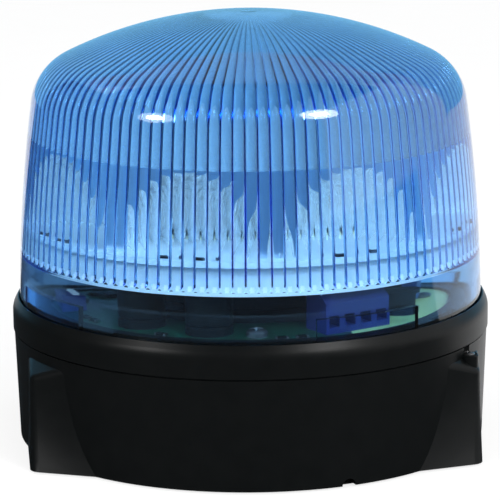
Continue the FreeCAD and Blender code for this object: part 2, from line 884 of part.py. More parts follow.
def light_pedestal():
    """Hollow stand with a foot flange and screw bosses under its top."""
    foot_reach = pedestal_radius + pedestal_foot_reach
    body = revolved([
        (pedestal_inner_radius, board_top_z),
        (foot_reach, board_top_z),
        (foot_reach, board_top_z + pedestal_foot),
        (pedestal_radius, board_top_z + pedestal_foot),
        (pedestal_radius, sink_low_z),
        (wire_hole_radius, sink_low_z),
        (wire_hole_radius, sink_low_z - pedestal_top),
        (pedestal_inner_radius, sink_low_z - pedestal_top),
    ])
    boss_low = sink_low_z - screw_grip - screw_radius
    body = body.multiFuse(hole_set(boss_radius, boss_low, sink_low_z, light_screw_radius, light_screw_angle))
    foot_high = board_top_z + pedestal_foot
    cutters = hole_set(clearance_hole_radius, board_top_z, foot_high, stand_screw_radius, stand_screw_angle)
    cutters += hole_set(pilot_hole_radius, boss_low, sink_low_z, light_screw_radius, light_screw_angle)
    return body.cut(cutters)


def heat_sink():
    """Skirted dish that carries the light board."""
    skirt_inner = sink_radius - sink_skirt_wall
    skirt_low = led_low_z - sink_skirt_drop
    body = revolved([
        (wire_hole_radius, sink_low_z),
        (skirt_inner, sink_low_z),
        (skirt_inner, skirt_low),
        (sink_radius, skirt_low),
        (sink_radius, led_low_z),
        (wire_hole_radius, led_low_z),
    ])
    return body.cut(hole_set(clearance_hole_radius, sink_low_z, led_low_z, light_screw_radius, light_screw_angle))


def led_board():
    """Round board that the emitters sit on."""
    board = tube(led_board_radius, wire_hole_radius, led_low_z, led_top_z)
    return board.cut(hole_set(clearance_hole_radius, led_low_z, led_top_z, light_screw_radius, light_screw_angle))


def led_packages():
    """One square emitter package at the focus of each niche."""
    package = block(led_size, led_size, led_top_z, led_top_z + led_height, led_place_radius, niche_angle)
    return Part.makeCompound(around(package, niche_count))


def led_domes():
    """Clear cap on each emitter package."""
    low = polar(led_place_radius, niche_angle, led_top_z + led_height)
    high = low + UP * led_dome_height
    sections = []
    for centre, radius in ((low, led_dome_radius), (high, led_dome_top_radius)):
        angles = [FULL_TURN * side / led_dome_sides for side in range(led_dome_sides)]
        sections.append([centre + polar(radius, angle) for angle in angles])
    return Part.makeCompound(around(facetted(sections), niche_count))


def niche_section(share):
    """Half-round outline across a niche, at a share of its width from its vertex."""
    depth = niche_depth * share ** 2
    centre = polar(niche_vertex_radius + depth, niche_angle, led_top_z)
    sideways = polar(1, niche_angle + FULL_TURN / 4)
    half_width = niche_half_width * share
    points = [centre + sideways * half_width - UP * led_height]
    for column in range(niche_columns + 1):
        turn = math.pi * column / niche_columns
        rise = UP * (niche_height * share * math.sin(turn))
        points.append(centre + sideways * (half_width * math.cos(turn)) + rise)
    points.append(centre - sideways * half_width - UP * led_height)
    return points


def reflector():
    """Drum with a faceted half-parabolic niche above each emitter and a well for its screws."""
    top = led_top_z + reflector_height
    web_top = led_top_z + reflector_web
    body = revolved([
        (wire_hole_radius, led_top_z),
        (reflector_radius, led_top_z),
        (reflector_radius, top),
        (cap_seat_radius, top),
        (cap_seat_radius, top - cap_thickness),
        (reflector_well_radius, top - cap_thickness),
        (reflector_well_radius, web_top),
        (wire_hole_radius, web_top),
    ])
    span = niche_overrun_share - niche_vertex_share
    shares = [niche_vertex_share + span * row / niche_rows for row in range(niche_rows + 1)]
    niche = facetted([niche_section(share) for share in shares])
    cutters = around(niche, niche_count)
    cutters += hole_set(clearance_hole_radius, led_top_z, web_top, light_screw_radius, light_screw_angle)
    return body.cut(cutters)


def reflector_cap():
    """Disc that closes the screw well, flush with the top of the reflector."""
    top = led_top_z + reflector_height
    return post(cap_seat_radius - seat_clearance, top - cap_thickness, top)


tab_screw_length = ring_floor + screw_grip
board_screw_length = board_thickness + screw_grip
stand_screw_length = pedestal_foot + board_thickness + screw_grip
light_screw_length = reflector_web + led_board_thickness + sink_thickness + screw_grip

pieces = {
    "base_housing": base_housing(),
    "lock_screw": lock_screw(),
    "bayonet_ring": bayonet_ring(),
    "ring_screws": screw_set(ring_floor_z, tab_screw_length, tab_screw_radius, tab_screw_angle),
    "lens_seal": lens_seal(),
    "lens": lens(),
    "cable_grommet": cable_grommet(),
    "driver_board": driver_board(),
    "board_screws": screw_set(board_top_z, board_screw_length, board_screw_radius, board_screw_angle),
    "terminal_block": terminal_block(),
    "terminal_screws": terminal_screws(),
    "dip_switch": mode_switch(),
    "storage_capacitors": Part.makeCompound([storage_capacitor(angle) for angle in capacitor_angles]),
    "power_inductor": power_inductor(),
    "surge_varistor": surge_varistor(),
    "bridge_rectifier": bridge_rectifier(),
    "switch_transistors": Part.makeCompound([switch_transistor(angle) for angle in transistor_angles]),
    "fuse_tube": fuse_tube(),
    "fuse_clips": fuse_clips(),
    "controller_chip": controller_chip(),
    "link_header": link_header(),
    "light_pedestal": light_pedestal(),
    "pedestal_screws": screw_set(
        board_top_z + pedestal_foot, stand_screw_length, stand_screw_radius, stand_screw_angle
    ),
    "heat_sink": heat_sink(),
    "led_board": led_board(),
    "led_packages": led_packages(),
    "led_domes": led_domes(),
    "reflector": reflector(),
    "reflector_cap": reflector_cap(),
    "light_unit_screws": screw_set(
        led_top_z + reflector_web, light_screw_length, light_screw_radius, light_screw_angle
    ),
}
for way in range(switch_ways):
    pieces["dip_slider_%d" % (way + 1)] = mode_slider(way)

os.makedirs("parts", exist_ok=True)
for name, shape in pieces.items():
    shape.exportStep("parts/%s.step" % name)
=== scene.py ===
import json
import math

import bmesh
import bpy
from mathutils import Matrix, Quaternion, Vector


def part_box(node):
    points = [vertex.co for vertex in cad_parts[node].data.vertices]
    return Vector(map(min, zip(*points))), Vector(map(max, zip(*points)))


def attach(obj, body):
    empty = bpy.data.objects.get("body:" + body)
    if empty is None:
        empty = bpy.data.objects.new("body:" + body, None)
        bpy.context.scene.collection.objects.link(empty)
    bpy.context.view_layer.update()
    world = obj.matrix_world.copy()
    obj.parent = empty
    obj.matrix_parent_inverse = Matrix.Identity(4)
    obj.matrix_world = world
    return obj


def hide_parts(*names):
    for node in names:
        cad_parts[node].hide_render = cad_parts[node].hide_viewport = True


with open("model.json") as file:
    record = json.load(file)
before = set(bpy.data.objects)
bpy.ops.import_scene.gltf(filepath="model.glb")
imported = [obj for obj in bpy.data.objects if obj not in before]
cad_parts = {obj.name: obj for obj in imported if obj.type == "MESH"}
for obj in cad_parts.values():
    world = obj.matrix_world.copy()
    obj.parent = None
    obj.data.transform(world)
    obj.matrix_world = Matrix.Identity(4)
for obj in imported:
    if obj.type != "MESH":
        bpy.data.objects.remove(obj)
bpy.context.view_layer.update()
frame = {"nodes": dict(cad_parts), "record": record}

# Frame: metres, the mounting plane is z = 0 and the front faces -Y.
# Sizes below are in millimetres, unless their heading says metres, and become metres where a mesh is made.
# Angles around the axis are in degrees, counted from the front towards +X.
MM = 0.001
FULL_TURN = 360.0


def low_of(node):
    """Lowest corner of a CAD node, in millimetres."""
    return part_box(node)[0] / MM


def high_of(node):
    """Highest corner of a CAD node, in millimetres."""
    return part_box(node)[1] / MM


# Heights and radii read from the frame
rim_z = high_of("bayonet_ring").z
lens_radius = high_of("lens_seal").x
lens_bottom_z = low_of("lens").z
board_top_z = high_of("driver_board").z
led_top_z = high_of("led_board").z
reflector_radius = high_of("reflector").x
reflector_top_z = high_of("reflector").z
cap_low_z = low_of("reflector_cap").z

# Lens
lens_lean = math.radians(1.18)
lens_side_curve = 442.0
lens_side_height = 53.7
lens_shoulder_radius = 15.7
lens_dome_radius = 115.3
lens_sharp_angle = 35
clear_wall = 2.1
flute_wall = 2.5
flute_depth = 0.85
flute_count = 120
flute_columns = 12
flute_tip = 2.0
flute_start = 12.7
flute_end_radius = 10.0
crown_radius = 1.2
ledge_height = 0.8
# White spots at the ends of the flutes, which are painted glints
glint_rise = 0.9
glint_half_height = 0.75
glint_half_width = 0.42
edge_step = 0.02
pad_count = 4
pad_angle = 28.0
pad_half_angle = 14.0
pad_depth = 1.7
pad_top = 5.4
catch_depth = 1.6
catch_half_angle = 6.0
catch_low = 33.4
catch_high = 35.8

# Points nearer than this become one
weld_distance = 0.001

# Rows of the lens mesh
outer_side_rows = 16
inner_side_rows = 14
shoulder_rows = 14
outer_dome_rows = 24
inner_dome_rows = 30
ledge_rows = 4
tip_rows = 10

# Reflector
niche_count = 8
niche_angle = 26.8
niche_angles = [niche_angle + FULL_TURN * index / niche_count for index in range(niche_count)]
niche_depth = 24.0
niche_half_width = 18.9
niche_height = 22.0
niche_start = 0.1
niche_rows = 6
niche_columns = 10
facet_steps = 4
facet_bulge = 0.6
bulge_focus_depth = 8.0
wall_steps = 5
cap_seat_radius = 28.4
well_radius = 27.0
web_height = 3.0
wire_hole_radius = 6.0
reflector_sharp_angle = 25

# Driver board
# Beyond this x the board is paler, a painted pool of light
lit_area_x = 24.0
lit_area_edge = 0.5

# Emitters
emitter_radius = 1.35
emitter_rings = 6
emitter_columns = 24
emitter_sharp_angle = 40

# Screws, with the parts of a head and a shank as shares of their size
screw_head_height = 2.0
screw_head_radius = 2.75
screw_shank_radius = 1.5
lock_head_height = 1.2
lock_head_radius = 1.7
lock_shank_radius = 1.0
shank_tip_share = 0.5
head_drop_share = 0.45
recess_arm_share = 0.62
recess_half_width_share = 0.16
recess_depth_share = 0.55
recess_steepness = 6
screw_columns = 48
screw_rings = 12
screw_sharp_angle = 35
circle_screw_count = 4
circle_screw_angles = {"ring_screws": 45, "board_screws": 0, "pedestal_screws": 45, "light_unit_screws": 45}

# Chip resistors
chip_length = 3.2
chip_width = 1.6
chip_height = 0.6
chip_end = 0.5
chip_step = 0.05
chip_sharp_angle = 30
led_chip_spread = 5.0
led_chip_inset = 2.0
driver_chip_inset = 4.0
driver_chip_angles = (-61, -56, -29, 7, 13, 222, 227, 258)
box_faces = [(0, 1, 2, 3), (4, 5, 6, 7), (0, 1, 5, 4), (1, 2, 6, 5), (2, 3, 7, 6), (3, 0, 4, 7)]

# Stage, in metres. The cards on the floor lie a little above it, below the foot of the part.
floor_half = 3.0
floor_z = -0.0005
floor_glow_share = 0.75
foot_shade_radius = 0.0622
foot_shade_columns = 96
foot_shade_z = floor_z / 6
grey_table_z = floor_z / 3
dark_table_z = floor_z / 2
dark_table_angles = (-150, 90)
back_table_angles = (-180, -140)
sector_steps = 24
studio_left = -1.6
studio_right = 1.2
studio_front = -1.6
studio_back = 0.4
studio_top = 1.5
backdrop_y = 1.8
backdrop_pale_top = 2.0
backdrop_light_top = 6.0
corner_start = (-2.0, 1.4)
corner_end = (-0.1, 2.4)
corner_top = 1.6
strip_near = -0.1
strip_far = -0.7
strip_half = 0.5

# Lamps: directions in degrees, sizes and distances in metres, power in watts
lamp_azimuths = {"left": -52.6, "right": 37.0}
lamp_elevations = {"left": 25.6, "right": 32.9}
core_distance = 1.0
core_size = (0.16, 0.12)
core_power = 2.0
halo_distance = 1.02
halo_size = (0.34, 0.28)
halo_powers = {"left": 1.5, "right": 3.0}
fill_azimuth = 10.0
fill_elevation = 20.0
fill_distance = 1.2
fill_size = (0.8, 0.6)
fill_power = 6.0

# Camera, from a fit to the photograph
camera_distance = 700.0
camera_elevation = math.radians(11.36)
camera_azimuth = math.radians(-2.0)
camera_roll = math.radians(-0.45)
camera_pivot = 58.5
camera_aim = 49.5
camera_focal = 183.5
camera_sensor = 36.0

# Textures
noise_detail = 3.0
ramp_start = 0.3
ramp_end = 0.7
grain_per_mottle = 12

# Plain finishes: the two ends of the mottling, the range of the roughness and what else is special,
# with the grain in features per metre and the relief in metres
plain_looks = {
    # Black moulding darker than black plastic is, as painted shade
    "black_moulding": dict(
        dark=(0.0022, 0.0028, 0.003), light=(0.0028, 0.0034, 0.0036), roughness=(0.32, 0.4),
        grain=2400.0, relief=0.000008, specular=0.14,
    ),
    "black_rubber": dict(dark=(0.015, 0.015, 0.015), light=(0.025, 0.025, 0.025), roughness=(0.6, 0.75)),
    # Steel far darker than bright steel is, as painted shade
    "bright_steel": dict(
        dark=(0.16, 0.16, 0.165), light=(0.22, 0.22, 0.225), roughness=(0.4, 0.5), metallic=1.0,
    ),
    "white_board": dict(dark=(0.8, 0.81, 0.8), light=(0.86, 0.86, 0.85), roughness=(0.4, 0.5)),
    # Blue moulding far darker than its own colour, as painted shade
    "blue_moulding": dict(dark=(0.016, 0.024, 0.11), light=(0.02, 0.028, 0.13), roughness=(0.35, 0.45)),
    "white_moulding": dict(dark=(0.78, 0.78, 0.76), light=(0.85, 0.85, 0.83), roughness=(0.35, 0.5)),
    # Black parts darker than black plastic is, as painted shade
    "black_component": dict(
        dark=(0.003, 0.004, 0.004), light=(0.005, 0.006, 0.006), roughness=(0.5, 0.6), specular=0.1,
    ),
    "varistor_coat": dict(dark=(0.02, 0.08, 0.3), light=(0.03, 0.1, 0.36), roughness=(0.3, 0.45)),
    "fuse_glass": dict(dark=(0.8, 0.85, 0.85), light=(0.9, 0.95, 0.95), roughness=(0.05, 0.1)),
    "white_sink": dict(dark=(0.82, 0.82, 0.82), light=(0.88, 0.88, 0.88), roughness=(0.4, 0.5)),
    "emitter_cap": dict(dark=(0.85, 0.78, 0.5), light=(0.88, 0.82, 0.58), roughness=(0.1, 0.2)),
    "metallised_reflector": dict(
        dark=(0.9, 0.91, 0.92), light=(0.93, 0.94, 0.95), roughness=(0.2, 0.28), relief=0.000002, metallic=0.7,
    ),
    # Metal wall with a blue tint, which is a painted reflection of the blue lens
    "reflector_wall": dict(
        dark=(0.76, 0.82, 0.92), light=(0.82, 0.88, 0.96), roughness=(0.25, 0.35), metallic=1.0,
    ),
    # White spots inside the lens, painted glints of the lamps
    "lens_frost": dict(dark=(0.94, 0.95, 0.96), light=(0.97, 0.98, 0.98), roughness=(0.5, 0.6)),
    "studio_dark": dict(dark=(0.02, 0.02, 0.02), light=(0.03, 0.03, 0.03), roughness=(0.8, 0.9)),
    "studio_grey": dict(dark=(0.14, 0.16, 0.2), light=(0.16, 0.18, 0.22), roughness=(0.8, 0.9)),
    "studio_pale": dict(dark=(0.19, 0.54, 0.82), light=(0.21, 0.58, 0.86), roughness=(0.8, 0.9)),
    "studio_light": dict(dark=(0.4, 0.42, 0.44), light=(0.44, 0.46, 0.48), roughness=(0.8, 0.9)),
}


def polar(radius, angle, z=0.0):
    """Point at a radius and an angle from the front."""
    turn = math.radians(angle)
    return Vector((radius * math.sin(turn), -radius * math.cos(turn), z))


def circle_points(centre, radius, z, columns):
    """Ring of points around a centre, at a height above it."""
    return [centre + polar(radius, FULL_TURN * column / columns, z) for column in range(columns)]


def clamp(value):
    """Value held between 0 and 1."""
    return max(0.0, min(1.0, value))


def smooth_step(value):
    """Soft step from 0 to 1."""
    value = clamp(value)
    return value * value * (3 - 2 * value)


def add_piece(name, points, faces, materials, body, sharp_angle, nodes=(), face_slots=None):
    """Mesh piece from points in millimetres, riding on a body and standing for CAD nodes."""
    mesh = bpy.data.meshes.new(name)
    mesh.from_pydata([tuple(Vector(point) * MM) for point in points], [], faces)
    for material in materials:
        mesh.materials.append(material)
    if face_slots:
        mesh.polygons.foreach_set("material_index", face_slots)
    join = bmesh.new()
    join.from_mesh(mesh)
    bmesh.ops.remove_doubles(join, verts=join.verts, dist=weld_distance * MM)
    bmesh.ops.recalc_face_normals(join, faces=join.faces)
    join.to_mesh(mesh)
    join.free()
    mesh.validate()
    mesh.polygons.foreach_set("use_smooth", [True] * len(mesh.polygons))
    mesh.set_sharp_from_angle(angle=math.radians(sharp_angle))
    piece = bpy.data.objects.new(name, mesh)
    bpy.context.scene.collection.objects.link(piece)
    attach(piece, body)
    if nodes:
        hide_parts(*nodes)
    return piece


def append_part(points, faces, part_points, part_faces):
    """Add the points and faces of a part to those of a larger mesh."""
    start = len(points)
    points.extend(part_points)
    faces.extend(tuple(start + corner for corner in face) for face in part_faces)


def ring_faces(row_count, column_count, start=0):
    """Quads between closed rings of points."""
    faces = []
    for row in range(row_count - 1):
        low = start + row * column_count
        high = low + column_count
        for column in range(column_count):
            after = (column + 1) % column_count
            faces.append((low + column, low + after, high + after, high + column))
    return faces


def strip_faces(row_count, column_count):
    """Quads between open rows of points."""
    faces = []
    for row in range(row_count - 1):
        low = row * column_count
        high = low + column_count
        for column in range(column_count - 1):
            faces.append((low + column, low + column + 1, high + column + 1, high + column))
    return faces


def fan_faces(ring_start, column_count, pole):
    """Triangles from a ring to a pole."""
    faces = []
    for column in range(column_count):
        faces.append((ring_start + column, ring_start + (column + 1) % column_count, pole))
    return faces


# Materials

def new_material(name):
    """Node material with its shader and the coordinates of the object."""
    material = bpy.data.materials.new(name)
    material.use_nodes = True
    tree = material.node_tree
    shader = tree.nodes["Principled BSDF"]
    place = tree.nodes.new("ShaderNodeTexCoord")
    return material, tree, shader, place.outputs["Object"]


def add_noise(tree, place, scale):
    """Noise texture at a scale in features per metre."""
    noise = tree.nodes.new("ShaderNodeTexNoise")
    noise.inputs["Scale"].default_value = scale
    noise.inputs["Detail"].default_value = noise_detail
    tree.links.new(place, noise.inputs["Vector"])
    return noise.outputs["Fac"]


def add_ramp(tree, factor, dark, light):
    """Colour between two ends, by a factor."""
    ramp = tree.nodes.new("ShaderNodeValToRGB")
    ramp.color_ramp.elements[0].position = ramp_start
    ramp.color_ramp.elements[0].color = (*dark, 1)
    ramp.color_ramp.elements[1].position = ramp_end
    ramp.color_ramp.elements[1].color = (*light, 1)
    tree.links.new(factor, ramp.inputs["Fac"])
    return ramp.outputs["Color"]


def add_range(tree, factor, low, high):
    """Number between two ends, by a factor."""
    span = tree.nodes.new("ShaderNodeMapRange")
    span.inputs["To Min"].default_value = low
    span.inputs["To Max"].default_value = high
    tree.links.new(factor, span.inputs["Value"])
    return span.outputs["Result"]


def add_mix(tree, factor, first, second):
    """Colour mixed from two others, by a factor."""
    mix = tree.nodes.new("ShaderNodeMix")
    mix.data_type = "RGBA"
    tree.links.new(factor, mix.inputs["Factor"])
    tree.links.new(first, mix.inputs["A"])
    tree.links.new(second, mix.inputs["B"])
    return mix.outputs["Result"]


def add_bump(tree, shader, height, distance):
    """Fine relief on a surface, with its depth in metres."""
    bump = tree.nodes.new("ShaderNodeBump")
    bump.inputs["Strength"].default_value = 1.0
    bump.inputs["Distance"].default_value = distance
    tree.links.new(height, bump.inputs["Height"])
    tree.links.new(bump.outputs["Normal"], shader.inputs["Normal"])


def plain_finish(name, dark, light, roughness, grain=900.0, relief=0.00002, metallic=0.0, specular=0.5):
    """Finish with slight mottling, uneven gloss and a fine grain."""
    material, tree, shader, place = new_material(name)
    mottle = add_noise(tree, place, grain / grain_per_mottle)
    fine = add_noise(tree, place, grain)
    tree.links.new(add_ramp(tree, mottle, dark, light), shader.inputs["Base Color"])
    tree.links.new(add_range(tree, fine, *roughness), shader.inputs["Roughness"])
    shader.inputs["Metallic"].default_value = metallic
    shader.inputs["Specular IOR Level"].default_value = specular
    add_bump(tree, shader, fine, relief)
    return material


def lens_finish():
    """Clear blue moulding with slightly uneven tint and gloss, darker where light runs a long way in it."""
    material, tree, shader, place = new_material("blue_lens")
    cloud = add_noise(tree, place, scale=25.0)
    tint = add_ramp(tree, cloud, dark=(0.68, 0.875, 0.965), light=(0.72, 0.905, 0.98))
    tree.links.new(tint, shader.inputs["Base Color"])
    tree.links.new(add_range(tree, cloud, low=0.04, high=0.07), shader.inputs["Roughness"])
    shader.inputs["Transmission Weight"].default_value = 1.0
    shader.inputs["IOR"].default_value = 1.5
    depth = tree.nodes.new("ShaderNodeVolumeAbsorption")
    depth.inputs["Color"].default_value = (0.04, 0.56, 0.95, 1)
    depth.inputs["Density"].default_value = 250.0
    tree.links.new(depth.outputs["Volume"], tree.nodes["Material Output"].inputs["Volume"])
    return material


def board_finish():
    """Green solder mask over copper tracks, both darkened as painted shade, with a pale area on the side of the
    terminals that is painted light.
    """
    material, tree, shader, place = new_material("green_board")
    tracks = tree.nodes.new("ShaderNodeTexBrick")
    tracks.inputs["Scale"].default_value = 90.0
    tracks.inputs["Mortar Size"].default_value = 0.04
    tracks.inputs["Brick Width"].default_value = 0.9
    tracks.inputs["Row Height"].default_value = 0.22
    tree.links.new(place, tracks.inputs["Vector"])
    mottle = add_noise(tree, place, scale=60.0)
    # Mask and tracks darkened below their own colour, as painted shade
    shaded_field = add_ramp(tree, mottle, dark=(0.003, 0.03, 0.016), light=(0.004, 0.036, 0.02))
    shaded_tracks = add_ramp(tree, mottle, dark=(0.008, 0.07, 0.035), light=(0.01, 0.08, 0.04))
    # Pale colour on the side of the terminals, painted light
    painted_light_colour = add_ramp(tree, mottle, dark=(0.6, 0.7, 0.24), light=(0.64, 0.74, 0.28))
    axes = tree.nodes.new("ShaderNodeSeparateXYZ")
    tree.links.new(place, axes.inputs["Vector"])
    area = tree.nodes.new("ShaderNodeMapRange")
    area.inputs["From Min"].default_value = lit_area_x * MM
    area.inputs["From Max"].default_value = (lit_area_x + lit_area_edge) * MM
    tree.links.new(axes.outputs["X"], area.inputs["Value"])
    tracked = add_mix(tree, tracks.outputs["Fac"], shaded_field, shaded_tracks)
    colour = add_mix(tree, area.outputs["Result"], tracked, painted_light_colour)
    tree.links.new(colour, shader.inputs["Base Color"])
    tree.links.new(add_range(tree, mottle, low=0.25, high=0.4), shader.inputs["Roughness"])
    add_bump(tree, shader, tracks.outputs["Fac"], distance=0.00003)
    return material


# Lens profile: side, shoulder and dome are tangent arcs, with heights counted from the rim

side_centre_r = lens_radius - lens_side_curve * math.cos(lens_lean)
side_centre_z = -lens_side_curve * math.sin(lens_lean)
side_end = math.asin((lens_side_height - side_centre_z) / lens_side_curve)
shoulder_centre_r = side_centre_r + (lens_side_curve - lens_shoulder_radius) * math.cos(side_end)
shoulder_centre_z = side_centre_z + (lens_side_curve - lens_shoulder_radius) * math.sin(side_end)
dome_reach = lens_dome_radius - lens_shoulder_radius
dome_half = math.asin(shoulder_centre_r / dome_reach)
dome_centre_z = shoulder_centre_z - dome_reach * math.cos(dome_half)
shoulder_end = math.pi / 2 - dome_half


def arc_points(centre_r, centre_z, radius, start, end, steps):
    """Points of a profile arc above the rim, without its start."""
    tilts = [start + (end - start) * step / steps for step in range(1, steps + 1)]
    return [(centre_r + radius * math.cos(tilt), centre_z + radius * math.sin(tilt)) for tilt in tilts]


def side_point(wall, height):
    """Point of the lens side at a height above the rim, set in by a wall and straight below the rim."""
    radius = lens_side_curve - wall
    height_held = max(height, 0.0)
    return (side_centre_r + math.sqrt(radius ** 2 - (height_held - side_centre_z) ** 2), height)


def upper_points(wall, dome_rows):
    """Shoulder and dome of the lens, set in by a wall, up to a small ring around the crown."""
    crown = math.acos(crown_radius / lens_dome_radius)
    bend = lens_shoulder_radius - wall
    points = arc_points(shoulder_centre_r, shoulder_centre_z, bend, side_end, shoulder_end, shoulder_rows)
    return points + arc_points(0, dome_centre_z, lens_dome_radius - wall, shoulder_end, crown, dome_rows)


def lens_outside():
    """Rows of the smooth outside, from the lower edge to the crown."""
    low = lens_bottom_z - rim_z
    top = shoulder_centre_z + lens_shoulder_radius * math.sin(side_end)
    heights = [low] + [top * step / outer_side_rows for step in range(outer_side_rows + 1)]
    return [side_point(0.0, height) for height in heights] + upper_points(0.0, outer_dome_rows)


def lens_inside():
    """Rows of the inside, from the lower edge to the crown, close together where its shape changes."""
    low = lens_bottom_z - rim_z
    top = shoulder_centre_z + (lens_shoulder_radius - clear_wall) * math.sin(side_end)
    tip_top = flute_start + flute_tip
    heights = [low]
    for edge in (catch_low - rim_z, catch_high - rim_z, pad_top):
        heights += [edge - edge_step, edge + edge_step]
    heights += [flute_start - ledge_height + ledge_height * step / ledge_rows for step in range(ledge_rows)]
    heights += [flute_start + flute_tip * step / tip_rows for step in range(tip_rows + 1)]
    heights += [tip_top + (top - tip_top) * step / inner_side_rows for step in range(1, inner_side_rows + 1)]
    return [side_point(clear_wall, height) for height in heights] + upper_points(clear_wall, inner_dome_rows)


def pad_reach(height, angle):
    """How far the twist-lock pads and catches stand in at a place on the clear band."""
    spacing = FULL_TURN / pad_count
    turn = abs((angle - pad_angle + spacing / 2) % spacing - spacing / 2)
    if height > pad_top or turn > pad_half_angle:
        return 0.0
    if turn <= catch_half_angle and catch_low <= height + rim_z <= catch_high:
        return pad_depth + catch_depth
    return pad_depth


def flute_reach(radius, height, across):
    """How far the wall stands in at a place on the fluted part, across one flute from -1 to 1."""
    rise = height - flute_start
    if rise < -ledge_height:
        return 0.0
    step = (flute_wall - clear_wall) * smooth_step((rise + ledge_height) / ledge_height)
    tip = clamp((flute_tip - rise) / flute_tip)
    shape = max(0.0, 1 - across ** 2 - tip ** 2)
    fade = smooth_step((radius - flute_end_radius) / flute_end_radius)
    return step + flute_depth * shape * fade * radius / lens_radius


def flute_across(column):
    """Place of a column across its flute, from -1 to 1."""
    return 2 * (column % flute_columns) / flute_columns - 1


def is_painted_glint(height, column):
    """Whether a face of the inside lies on the white spot at the end of a flute, which is a painted glint."""
    aside = (flute_across(column) + 1 / flute_columns) / glint_half_width
    up = (height + flute_tip / tip_rows / 2 - flute_start - glint_rise) / glint_half_height
    return math.hypot(aside, up) < 1


def make_lens(material, glint_finish):
    """Dome with a smooth outside and a fluted inside, with a white spot at the end of each flute as a painted
    glint.
    """
    columns = flute_count * flute_columns
    angles = [FULL_TURN * column / columns for column in range(columns)]
    inside = lens_inside()
    points = []
    for radius, height in reversed(lens_outside()):
        points += [polar(radius, angle, rim_z + height) for angle in angles]
    # A face starts at each point of every row but the last, so the face slots follow the points.
    slots = [0] * len(points)
    for _, height in inside[:-1]:
        slots += [int(is_painted_glint(height, column)) for column in range(columns)]
    for radius, height in inside:
        for column, angle in enumerate(angles):
            reach = max(pad_reach(height, angle), flute_reach(radius, height, flute_across(column)))
            points.append(polar(radius - reach, angle, rim_z + height))
    row_count = len(points) // columns
    faces = ring_faces(row_count, columns)
    crown_z = rim_z + dome_centre_z + lens_dome_radius
    points.append((0, 0, crown_z))
    faces += fan_faces(0, columns, len(points) - 1)
    points.append((0, 0, crown_z - flute_wall))
    faces += fan_faces((row_count - 1) * columns, columns, len(points) - 1)
    slots += [0] * (len(faces) - len(slots))
    lens = add_piece(
        "lens_dome", points, faces, [material, glint_finish], "lens_cover",
        lens_sharp_angle, nodes=["lens"], face_slots=slots,
    )
    lens.visible_shadow = False


# Reflector

def niche_point(share, turn, angle):
    """Point of a niche: share goes from its vertex to its rim, turn goes over its arch."""
    depth = reflector_radius - niche_depth * (1 - share ** 2)
    aside = niche_half_width * share * math.cos(turn)
    radius = math.hypot(depth, aside)
    offset = math.degrees(math.atan2(aside, depth))
    return polar(radius, angle + offset, led_top_z + niche_height * share * math.sin(turn))


def rim_share(turn):
    """Share at which a niche meets the round wall of the reflector."""
    vertex = reflector_radius - niche_depth
    width = (niche_half_width * math.cos(turn)) ** 2
    slope = 2 * vertex * niche_depth + width
    gap = reflector_radius ** 2 - vertex ** 2
    root = math.sqrt(slope ** 2 + 4 * niche_depth ** 2 * gap)
    return math.sqrt((root - slope) / (2 * niche_depth ** 2))


def row_share(row, rows, turn):
    """Share of a row of points on a niche, from near its vertex to its rim."""
    return niche_start + (rim_share(turn) - niche_start) * row / rows


def pillow(share):
    """Bulge across one facet, from 0 at its edges to 1 in its middle."""
    return 4 * share * (1 - share)


def niche_surface(angle):
    """Rows of points over one niche, with a small bulge on each facet."""
    rows = niche_rows * facet_steps
    columns = niche_columns * facet_steps
    focus = polar(reflector_radius - bulge_focus_depth, angle, led_top_z)
    points = []
    for row in range(rows + 1):
        for column in range(columns + 1):
            turn = math.pi * column / columns
            point = niche_point(row_share(row, rows, turn), turn, angle)
            lift = pillow(row / facet_steps % 1) * pillow(column / facet_steps % 1)
            points.append(point + (focus - point).normalized() * facet_bulge * lift)
    return points, strip_faces(rows + 1, columns + 1)


def frame_point(turn):
    """Place on the edge of one niche's share of the wall: sideways from -1 to 1, upwards from 0 to 1."""
    side = math.cos(turn)
    up = math.sin(turn)
    reach = max(abs(side), up)
    return side / reach, up / reach


def wall_surface(angle):
    """Rows of points on the round wall, from the rim of one niche to the edges of its share."""
    columns = niche_columns * facet_steps
    half_angle = FULL_TURN / niche_count / 2
    height = reflector_top_z - led_top_z
    points = []
    for row in range(wall_steps + 1):
        share = row / wall_steps
        for column in range(columns + 1):
            turn = math.pi * column / columns
            rim = niche_point(rim_share(turn), turn, 0.0)
            rim_offset = math.degrees(math.atan2(rim.x, -rim.y))
            side, up = frame_point(turn)
            offset = rim_offset + (half_angle * side - rim_offset) * share
            z = rim.z + (led_top_z + height * up - rim.z) * share
            points.append(polar(reflector_radius, angle + offset, z))
    return points, strip_faces(wall_steps + 1, columns + 1)


def niche_foot(angle):
    """Outline of one niche's share of the foot, from one edge of the share to the other."""
    rows = niche_rows * facet_steps
    half_angle = FULL_TURN / niche_count / 2
    points = [polar(reflector_radius, angle + half_angle, led_top_z)]
    for turn in (0.0, math.pi):
        edge = [niche_point(row_share(row, rows, turn), turn, angle) for row in range(rows + 1)]
        points += edge if turn else reversed(edge)
    return points


def lathe(outline, columns):
    """Rings of points from an outline of (radius, height) points."""
    points = []
    for radius, z in outline:
        points += circle_points(Vector(), radius, z, columns)
    return points, ring_faces(len(outline), columns)


